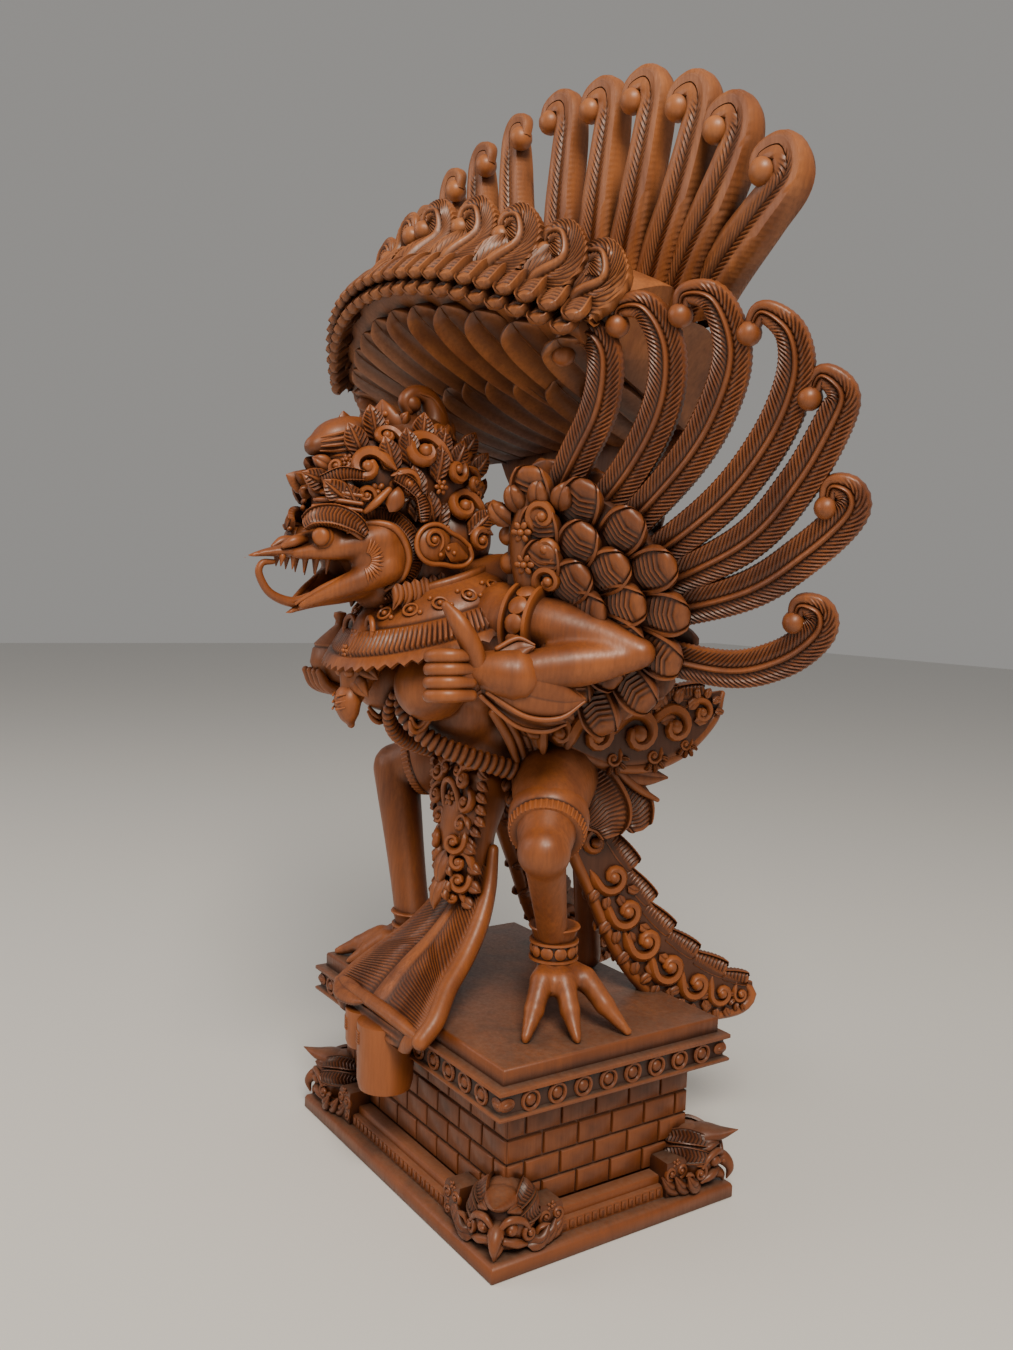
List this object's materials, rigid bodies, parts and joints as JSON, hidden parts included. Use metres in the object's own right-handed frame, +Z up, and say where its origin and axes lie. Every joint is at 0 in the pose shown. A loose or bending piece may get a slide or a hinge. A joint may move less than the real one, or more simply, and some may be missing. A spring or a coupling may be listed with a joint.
{
  "type": "carved garuda statue",
  "caption": "Carved wooden figure of a beaked, crowned bird deity with spread wings and a feathered canopy tail, standing on a stepped temple-like plinth.",
  "frame": {"origin": "middle of the plinth's underside", "axes": "+Z up, the figure faces -Y, and its left hand is at +X"},
  "size_m": [0.36, 0.255, 0.4965],
  "materials": {
    "plinth_wood": "waxed, dusty on its ledges",
    "figure_wood": "satin wax",
    "wing_wood": "satin wax",
    "tail_wood": "satin wax"
  },
  "bodies": {
    "root": {"plinth": "plinth_wood", "figure": "figure_wood", "wing_left": "wing_wood", "wing_right": "wing_wood", "tail": "tail_wood"}
  },
  "joints": []
}
